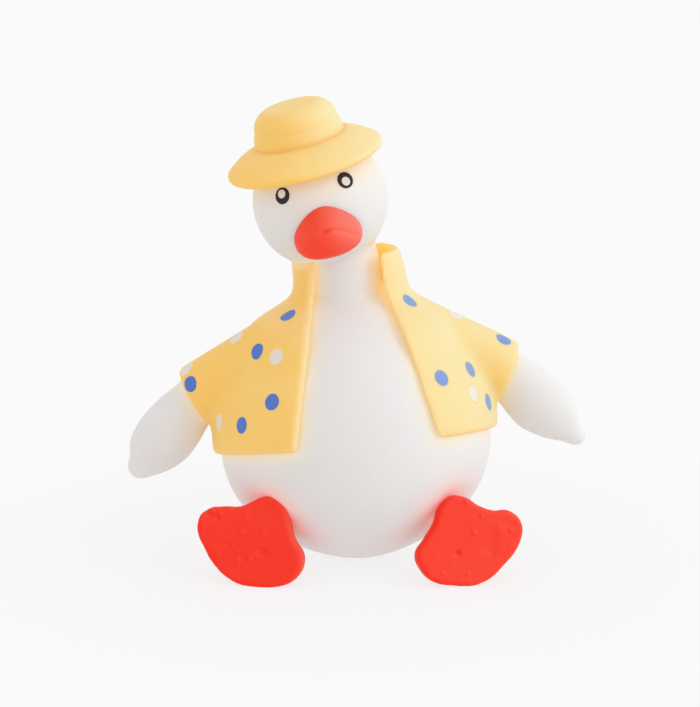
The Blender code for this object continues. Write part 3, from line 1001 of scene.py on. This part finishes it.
# Painted shade in the hat's crease at the band's foot
paint(sunHat, "paintedCreaseShade", bandFoot(sunHat))
print("dots and glow painted")


# Materials

def addNode(tree, kind, x, y, **settings):
    node = tree.nodes.new(kind)
    node.location = (x, y)
    for name, value in settings.items():
        setattr(node, name, value)
    return node


def feed(tree, socket, value):
    if isinstance(value, bpy.types.NodeSocket):
        tree.links.new(value, socket)
    elif socket.type == "RGBA":
        socket.default_value = (*value, 1.0)
    else:
        socket.default_value = value


def setInputs(node, **values):
    for name, value in values.items():
        feed(node.id_data, node.inputs[name.replace("_", " ")], value)


def mixColour(tree, factor, first, second, x, y):
    mix = addNode(tree, "ShaderNodeMix", x, y, data_type="RGBA")
    for index, value in ((0, factor), (6, first), (7, second)):
        feed(tree, mix.inputs[index], value)
    return mix.outputs[2]


def mixValue(tree, factor, first, second, x, y):
    mix = addNode(tree, "ShaderNodeMix", x, y, data_type="FLOAT")
    for index, value in ((0, factor), (2, first), (3, second)):
        feed(tree, mix.inputs[index], value)
    return mix.outputs[0]


def maths(tree, operation, first, second, x, y, clamp=False):
    node = addNode(tree, "ShaderNodeMath", x, y, operation=operation, use_clamp=clamp)
    feed(tree, node.inputs[0], first)
    feed(tree, node.inputs[1], second)
    return node.outputs[0]


def ramp(tree, value, low, high, x, y):
    node = addNode(tree, "ShaderNodeMapRange", x, y, interpolation_type="SMOOTHSTEP")
    setInputs(node, Value=value, From_Min=low, From_Max=high)
    return node.outputs["Result"]


def noiseAt(tree, place, x, y, **values):
    node = addNode(tree, "ShaderNodeTexNoise", x, y)
    setInputs(node, Vector=place, **values)
    return node


def newGroup(name, inputs, outputs):
    group = bpy.data.node_groups.new(name, "ShaderNodeTree")
    for label, kind, value in inputs:
        socket = group.interface.new_socket(label, in_out="INPUT", socket_type=kind)
        socket.default_value = value
    for label, kind in outputs:
        group.interface.new_socket(label, in_out="OUTPUT", socket_type=kind)
    start = addNode(group, "NodeGroupInput", -900, 0)
    end = addNode(group, "NodeGroupOutput", 900, 0)
    return group, start, end


def makeRubberGroup():
    # Cloudy colour, fine grain and a few pits and specks of moulded rubber.
    group, start, end = newGroup(
        "mouldedRubber",
        [
            ("Colour", "NodeSocketColor", (0.8, 0.8, 0.8, 1.0)),
            ("Cloud Colour", "NodeSocketColor", (0.8, 0.8, 0.8, 1.0)),
            ("Speck Colour", "NodeSocketColor", (0.2, 0.15, 0.1, 1.0)),
            ("Cloud Scale", "NodeSocketFloat", 60.0),
            ("Cloud Amount", "NodeSocketFloat", 0.5),
            ("Grain Scale", "NodeSocketFloat", 3000.0),
            ("Speck Scale", "NodeSocketFloat", 120.0),
            ("Speck Size", "NodeSocketFloat", 0.02),
            ("Roughness", "NodeSocketFloat", 0.5),
            ("Roughness Change", "NodeSocketFloat", 0.1),
        ],
        [("Colour", "NodeSocketColor"), ("Roughness", "NodeSocketFloat"), ("Height", "NodeSocketFloat")],
    )
    place = addNode(group, "ShaderNodeTexCoord", -900, -300).outputs["Object"]
    cloud = noiseAt(group, place, -600, 200, Scale=start.outputs["Cloud Scale"], Detail=3.0, Roughness=0.5)
    amount = ramp(group, cloud.outputs["Fac"], 0.35, 0.65, -400, 200)
    amount = maths(group, "MULTIPLY", amount, start.outputs["Cloud Amount"], -200, 200)
    colour = mixColour(group, amount, start.outputs["Colour"], start.outputs["Cloud Colour"], 0, 200)
    cells = addNode(group, "ShaderNodeTexVoronoi", -600, -100)
    setInputs(cells, Vector=place, Scale=start.outputs["Speck Scale"])
    chance = addNode(group, "ShaderNodeSeparateColor", -400, -200)
    group.links.new(cells.outputs["Color"], chance.inputs[0])
    few = maths(group, "GREATER_THAN", chance.outputs[0], 0.75, -200, -200)
    near = maths(group, "LESS_THAN", cells.outputs["Distance"], start.outputs["Speck Size"], -200, -50)
    speck = maths(group, "MULTIPLY", few, near, 0, -100)
    shown = maths(group, "MULTIPLY", speck, 0.55, 150, -100)
    colour = mixColour(group, shown, colour, start.outputs["Speck Colour"], 300, 200)
    grain = noiseAt(group, place, -600, -500, Scale=start.outputs["Grain Scale"], Detail=2.0)
    waves = noiseAt(group, place, -600, -800, Scale=380.0, Detail=2.0)
    fine = maths(group, "MULTIPLY", grain.outputs["Fac"], 0.35, -300, -500)
    height = maths(group, "ADD", fine, waves.outputs["Fac"], -100, -600)
    height = maths(group, "SUBTRACT", height, speck, 100, -600)
    change = maths(group, "SUBTRACT", cloud.outputs["Fac"], 0.5, -100, -300)
    change = maths(group, "MULTIPLY", change, start.outputs["Roughness Change"], 100, -300)
    rough = maths(group, "ADD", start.outputs["Roughness"], change, 300, -300)
    setInputs(end, Colour=colour, Roughness=rough, Height=height)
    return group


def makePrintGroup():
    # A printed round field: its mask, with a slightly uneven edge, and a faint stain round it.
    group, start, end = newGroup(
        "printedRound",
        [
            ("Distance", "NodeSocketFloat", 1.0),
            ("Radius", "NodeSocketFloat", 0.002),
            ("Uneven", "NodeSocketFloat", 0.00012),
            ("Edge", "NodeSocketFloat", 0.00004),
            ("Stain Width", "NodeSocketFloat", 0.0008),
        ],
        [("Mask", "NodeSocketFloat"), ("Stain", "NodeSocketFloat")],
    )
    place = addNode(group, "ShaderNodeTexCoord", -900, -300).outputs["Object"]
    wobble = noiseAt(group, place, -600, -200, Scale=420.0, Detail=2.0)
    shift = maths(group, "SUBTRACT", wobble.outputs["Fac"], 0.5, -400, -200)
    shift = maths(group, "MULTIPLY", shift, start.outputs["Uneven"], -250, -200)
    shift = maths(group, "MULTIPLY", shift, 2.0, -150, -200)
    reach = maths(group, "ADD", start.outputs["Distance"], shift, -100, 0)
    over = maths(group, "SUBTRACT", start.outputs["Radius"], reach, 50, 0)
    mask = maths(group, "DIVIDE", over, start.outputs["Edge"], 200, 100)
    mask = maths(group, "ADD", mask, 0.5, 350, 100, clamp=True)
    away = maths(group, "DIVIDE", over, start.outputs["Stain Width"], 200, -100)
    stain = maths(group, "ADD", away, 1.0, 350, -100, clamp=True)
    setInputs(end, Mask=mask, Stain=stain)
    return group


def makeMarkGroup():
    # One small dark speck at a place on the piece.
    group, start, end = newGroup(
        "roundMark",
        [("Place", "NodeSocketVector", (0.0, 0.0, 0.0)), ("Radius", "NodeSocketFloat", 0.0002)],
        [("Mask", "NodeSocketFloat")],
    )
    place = addNode(group, "ShaderNodeTexCoord", -900, -300).outputs["Object"]
    away = addNode(group, "ShaderNodeVectorMath", -500, 0, operation="DISTANCE")
    group.links.new(place, away.inputs[0])
    group.links.new(start.outputs["Place"], away.inputs[1])
    share = maths(group, "DIVIDE", away.outputs["Value"], start.outputs["Radius"], -200, 0)
    mask = maths(group, "SUBTRACT", 1.5, share, 100, 0, clamp=True)
    setInputs(end, Mask=mask)
    return group


rubberGroup = makeRubberGroup()
printGroup = makePrintGroup()
markGroup = makeMarkGroup()


# Sockets of the shader and of the rubber group, with the value that each piece's looks give
shaderSockets = (
    ("Subsurface Weight", "milky"),
    ("Subsurface Radius", "milkyRadius"),
    ("Subsurface Scale", "milkyDepth"),
    ("Specular IOR Level", "gloss"),
)
rubberSockets = (
    ("Colour", "colour"),
    ("Cloud Colour", "cloudColour"),
    ("Speck Colour", "speckColour"),
    ("Cloud Scale", "cloudScale"),
    ("Cloud Amount", "cloudAmount"),
    ("Speck Scale", "speckScale"),
    ("Speck Size", "speckSize"),
    ("Roughness", "roughness"),
)
grainDepth = 0.00008


def startMaterial(name, looks):
    material = bpy.data.materials.new(name)
    material.use_nodes = True
    tree = material.node_tree
    shader = tree.nodes["Principled BSDF"]
    shader.location = (900, 0)
    tree.nodes["Material Output"].location = (1200, 0)
    for socket, word in shaderSockets:
        feed(tree, shader.inputs[socket], looks[word])
    rubber = addNode(tree, "ShaderNodeGroup", 0, 0, node_tree=rubberGroup)
    for socket, word in rubberSockets:
        feed(tree, rubber.inputs[socket], looks[word])
    relief = addNode(tree, "ShaderNodeBump", 600, -300)
    setInputs(relief, Strength=looks["grain"], Distance=grainDepth, Height=rubber.outputs["Height"])
    setInputs(shader, Normal=relief.outputs["Normal"], Roughness=rubber.outputs["Roughness"])
    return material, tree, shader, rubber.outputs["Colour"]


def attributeValue(tree, name, x, y):
    return addNode(tree, "ShaderNodeAttribute", x, y, attribute_name=name).outputs["Fac"]


def tinted(tree, colour, name, share, tint, x, y):
    # Mixes a colour in where a painted field says so.
    amount = maths(tree, "MULTIPLY", attributeValue(tree, name, x - 400, y + 200), share, x - 200, y + 200)
    return mixColour(tree, amount, colour, tint, x, y)


def addMarks(tree, piece, colour, marks, markColour):
    surface = surfaceOf(piece)
    for index, (pixel, size) in enumerate(marks):
        y = -600 - 250 * index
        mark = addNode(tree, "ShaderNodeGroup", 400, y, node_tree=markGroup)
        setInputs(mark, Place=spotInPhoto(surface, pixel), Radius=size)
        colour = mixColour(tree, mark.outputs["Mask"], colour, markColour, 700, y)
    return colour


def addPrint(tree, field, x, y, **values):
    # A printed round wherever a painted distance is under its radius.
    printed = addNode(tree, "ShaderNodeGroup", x, y, node_tree=printGroup)
    setInputs(printed, Distance=attributeValue(tree, field, x - 200, y), **values)
    return printed.outputs


whiteLooks = {
    "colour": (0.755, 0.735, 0.722),
    "cloudColour": (0.745, 0.722, 0.702),
    # Painted light: the colour on the side turned to the window lamp
    "litSideColour": (0.865, 0.86, 0.855),
    "speckColour": (0.30, 0.20, 0.13),
    "cloudScale": 45.0,
    "cloudAmount": 0.6,
    "speckScale": 150.0,
    "speckSize": 0.012,
    "roughness": 0.50,
    "grain": 0.25,
    "milky": 0.40,
    "milkyRadius": (1.0, 0.75, 0.6),
    "milkyDepth": 0.003,
    "gloss": 0.30,
    # Painted glow field, how much it tints and with what, and how much painted light it gives and of what
    # colour
    "glows": (
        ("paintedJacketGlow", 0.60, (1.0, 0.79, 0.44), 0.13, (1.0, 0.84, 0.46)),
        ("paintedHatGlow", 0.80, (1.0, 0.80, 0.46), 0.26, (1.0, 0.84, 0.52)),
        ("paintedFootGlow", 0.52, (1.0, 0.30, 0.22), 0.14, (1.0, 0.34, 0.26)),
    ),
    "contactShadowShare": 0.8,
    "contactShadowColour": (0.62, 0.38, 0.22),
    "markColour": (0.30, 0.22, 0.18),
    # Pixel in the photograph and size of single specks
    "marks": (
        ((316.5, 464.4), 0.00008),
        ((383.9, 448.2), 0.00012),
        ((347.5, 466.3), 0.00007),
        ((371.0, 475.0), 0.00009),
        ((338.5, 509.4), 0.00009),
        ((366.7, 510.4), 0.00007),
        ((263.6, 223.3), 0.00010),
    ),
}


def whiteMaterial():
    looks = whiteLooks
    material, tree, shader, colour = startMaterial("milkyWhiteRubber", looks)
    # Painted light: paler on the side turned to the window lamp
    colour = tinted(tree, colour, "paintedLitSide", 1.0, looks["litSideColour"], 300, 400)
    # Painted glow: tint and emitted light beside the coloured neighbours, standing in for light carried
    # through the milky rubber
    light = (0.0, 0.0, 0.0)
    for index, (field, share, tint, strength, glow) in enumerate(looks["glows"]):
        y = 800 + 400 * index
        colour = tinted(tree, colour, field, share, tint, 400, y)
        light = tinted(tree, light, field, strength, glow, 700, y)
    # Painted contact shadow along the bottom of the body
    colour = tinted(tree, colour, "contactShadow", looks["contactShadowShare"], looks["contactShadowColour"], 400, 2200)
    colour = addMarks(tree, whiteBody, colour, looks["marks"], looks["markColour"])
    setInputs(shader, Base_Color=colour, Emission_Color=light, Emission_Strength=1.0)
    return material


yellowLooks = {
    "colour": (0.950, 0.600, 0.155),
    "cloudColour": (0.940, 0.565, 0.132),
    "litSideColour": (0.92, 0.80, 0.44),
    "speckColour": (0.45, 0.30, 0.08),
    "cloudScale": 50.0,
    "cloudAmount": 0.6,
    "speckScale": 170.0,
    "speckSize": 0.010,
    "roughness": 0.50,
    "grain": 0.25,
    "milky": 0.30,
    "milkyRadius": (1.0, 0.6, 0.2),
    "milkyDepth": 0.002,
    "gloss": 0.30,
    "jacketLitSideShare": 0.95,
    # Ink, its colour with painted light on the side turned to the window, and the stain round it
    "inks": (
        ("blueDots", (0.080, 0.175, 0.54), (0.34, 0.48, 0.80), (0.78, 0.56, 0.20)),
        ("whiteDots", (0.78, 0.70, 0.61), (0.90, 0.88, 0.84), (0.950, 0.600, 0.155)),
    ),
    "inkLitSideShare": 0.70,
    "stainShare": 0.4,
    "edgeTintAndShadeColour": (0.86, 0.67, 0.35),
    "edgeTintAndShadeShare": 0.80,
    "edgePaintedGlow": 0.08,
    "insideGlow": (1.0, 0.66, 0.16),
    "insideLight": 0.34,
    "creaseShadeColour": (0.95, 0.45, 0.07),
    "creaseShadeShare": 0.4,
    # Pixel in the photograph and size of single specks on the hat
    "hatMarks": (
        ((270.4, 120.2), 0.00010),
        ((246.0, 181.8), 0.00013),
    ),
}


def jacketMaterial():
    looks = yellowLooks
    material, tree, shader, colour = startMaterial("dottedYellowRubber", looks)
    # Painted light: paler on the side turned to the window lamp
    colour = tinted(tree, colour, "paintedLitSide", looks["jacketLitSideShare"], looks["litSideColour"], 300, 300)
    # Paler tint where the wall is thin over the body and painted shade along the lapels, with a little painted
    # glow on both
    colour = tinted(tree, colour, "thinWallAndLapelShade", looks["edgeTintAndShadeShare"], looks["edgeTintAndShadeColour"], 400, 600)
    # Painted glow on the collar's inner faces, and a little along the thin edges
    light = tinted(tree, (0.0, 0.0, 0.0), "inside", looks["insideLight"], looks["insideGlow"], 700, 300)
    light = tinted(tree, light, "thinWallAndLapelShade", looks["edgePaintedGlow"], looks["edgeTintAndShadeColour"], 900, 300)
    for index, (field, ink, litSideInk, stain) in enumerate(looks["inks"]):
        y = 1000 + 600 * index
        printed = addPrint(tree, field, 200, y, Radius=dots["radius"])
        spread = maths(tree, "MULTIPLY", printed["Stain"], looks["stainShare"], 400, y - 150)
        colour = mixColour(tree, spread, colour, stain, 500, y)
        # Painted light on the ink too, paler on the side turned to the window lamp
        ink = tinted(tree, ink, "paintedLitSide", looks["inkLitSideShare"], litSideInk, 500, y + 200)
        colour = mixColour(tree, printed["Mask"], colour, ink, 650, y)
    setInputs(shader, Base_Color=colour, Emission_Color=light, Emission_Strength=1.0)
    return material


def hatMaterial():
    looks = yellowLooks
    material, tree, shader, colour = startMaterial("yellowHatRubber", looks)
    # Painted light: paler on the side turned to the window lamp
    colour = tinted(tree, colour, "paintedLitSide", 1.0, looks["litSideColour"], 300, 300)
    # Painted shade in the crease at the band's foot
    colour = tinted(tree, colour, "paintedCreaseShade", looks["creaseShadeShare"], looks["creaseShadeColour"], 400, 600)
    colour = addMarks(tree, sunHat, colour, looks["hatMarks"], looks["speckColour"])
    setInputs(shader, Base_Color=colour)
    return material


redLooks = {
    "colour": (0.94, 0.024, 0.006),
    "cloudColour": (0.94, 0.036, 0.014),
    "litSideColour": (0.95, 0.090, 0.055),
    "speckColour": (0.66, 0.02, 0.01),
    "cloudScale": 90.0,
    "cloudAmount": 0.6,
    "speckScale": 320.0,
    "speckSize": 0.05,
    "roughness": 0.50,
    "grain": 0.4,
    "milky": 0.15,
    "milkyRadius": (1.0, 0.2, 0.1),
    "milkyDepth": 0.0015,
    "gloss": 0.18,
}
billLooks = dict(
    redLooks,
    colour=(0.94, 0.059, 0.024),
    cloudColour=(0.94, 0.075, 0.036),
    litSideColour=(0.92, 0.205, 0.155),
    speckSize=0.01,
)


eyeBlack = (0.022, 0.016, 0.028)
eyeLooks = dict(
    redLooks,
    colour=eyeBlack,
    cloudColour=eyeBlack,
    speckColour=eyeBlack,
    milky=0.0,
    gloss=0.25,
    pupilColour=(0.80, 0.76, 0.73),
    pupilUneven=0.00008,
)


def redRubber(name, looks):
    material, tree, shader, colour = startMaterial(name, looks)
    # Painted light: paler on the side turned to the window lamp
    colour = tinted(tree, colour, "paintedLitSide", 1.0, looks["litSideColour"], 300, 300)
    setInputs(shader, Base_Color=colour)
    return material


def eyeMaterial():
    looks = eyeLooks
    material, tree, shader, colour = startMaterial("eyePrint", looks)
    printed = addPrint(tree, "pupil", 200, 500, Radius=eyes["pupilRadius"], Uneven=looks["pupilUneven"])
    colour = mixColour(tree, printed["Mask"], colour, looks["pupilColour"], 600, 300)
    setInputs(shader, Base_Color=colour)
    return material


redMaterial = redRubber("redFootRubber", redLooks)
blackMaterial = eyeMaterial()
for piece, material, slot, node in (
    (whiteBody, whiteMaterial(), "white_rubber", "body"),
    (dottedJacket, jacketMaterial(), "jacket_rubber", "jacket"),
    (sunHat, hatMaterial(), "hat_rubber", "hat"),
    (redBill, redRubber("redBillRubber", billLooks), "beak_rubber", "beak"),
    (rightEye, blackMaterial, "eye_print", "right_eye"),
    (leftEye, blackMaterial, "eye_print", "left_eye"),
    (rightFoot, redMaterial, "foot_rubber", "right_foot"),
    (leftFoot, redMaterial, "foot_rubber", "left_foot"),
):
    piece.data.materials.clear()
    piece.data.materials.append(material)
    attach(piece, "root")
    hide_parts(node)
print("materials made")


# Floor, room and lamps

studio = {
    "floorSize": 8.0,
    "floorColour": (0.9, 0.9, 0.9),
    "floorRoughness": 0.8,
    "pale": 0.956,
    "shadowShare": 0.20,
    "shadowEnd": 0.13,
    "floorGlow": 0.70,
    "roomLight": 0.90,
    "lamps": (
        {"name": "windowLamp", "place": (0.60, -0.30, 0.45), "size": 0.40, "power": 0.9},
        {"name": "frontLamp", "place": (-0.40, -0.70, 0.35), "size": 0.60, "power": 0.3},
    ),
}


def seenRay(tree, x, y):
    path = addNode(tree, "ShaderNodeLightPath", x, y)
    seen = maths(tree, "MAXIMUM", path.outputs["Is Camera Ray"], path.outputs["Is Glossy Ray"], x + 200, y)
    return maths(tree, "MAXIMUM", seen, path.outputs["Is Transmission Ray"], x + 400, y)


def makeFloor():
    deselectAll()
    bpy.ops.mesh.primitive_plane_add(size=studio["floorSize"])
    floor = bpy.context.active_object
    floor.name = "paleFloor"
    material = bpy.data.materials.new("paleFloor")
    material.use_nodes = True
    tree = material.node_tree
    shader = tree.nodes["Principled BSDF"]
    setInputs(shader, Base_Color=studio["floorColour"], Roughness=studio["floorRoughness"])
    setInputs(shader, Specular_IOR_Level=0.0)
    plain = addNode(tree, "ShaderNodeEmission", 0, -500)
    setInputs(plain, Color=(studio["pale"],) * 3)
    mix = addNode(tree, "ShaderNodeMixShader", 600, 0)
    # The shadow is kept round the duck and is gone before the floor's far edge.
    place = addNode(tree, "ShaderNodeTexCoord", -1000, 600).outputs["Object"]
    away = addNode(tree, "ShaderNodeVectorMath", -800, 600, operation="LENGTH")
    tree.links.new(place, away.inputs[0])
    near = ramp(tree, away.outputs["Value"], studio["shadowEnd"], studio["shadowEnd"] / 3, -600, 600)
    shadow = maths(tree, "MULTIPLY", near, studio["shadowShare"], -400, 600)
    light = maths(tree, "SUBTRACT", 1.0, shadow, -200, 600)
    share = mixValue(tree, seenRay(tree, -600, 300), studio["floorGlow"], light, 400, 300)
    tree.links.new(share, mix.inputs[0])
    tree.links.new(shader.outputs[0], mix.inputs[1])
    tree.links.new(plain.outputs[0], mix.inputs[2])
    tree.links.new(mix.outputs[0], tree.nodes["Material Output"].inputs[0])
    floor.data.materials.append(material)


def makeRoom():
    world = bpy.data.worlds.new("paleRoom")
    bpy.context.scene.world = world
    world.use_nodes = True
    tree = world.node_tree
    background = tree.nodes["Background"]
    strength = mixValue(tree, seenRay(tree, -800, 0), studio["roomLight"], studio["pale"], -200, 0)
    setInputs(background, Color=(1.0, 1.0, 1.0), Strength=strength)


def makeLamps():
    target = photoView["aim"]
    for lamp in studio["lamps"]:
        place = Vector(lamp["place"])
        aim = (place - target).to_track_quat("Z", "Y").to_euler()
        deselectAll()
        bpy.ops.object.light_add(type="AREA", location=place, rotation=aim)
        light = bpy.context.active_object
        light.name = lamp["name"]
        light.data.size = lamp["size"]
        light.data.energy = lamp["power"]


makeFloor()
makeRoom()
makeLamps()
bpy.context.scene.view_settings.view_transform = "Standard"
print("studio made")
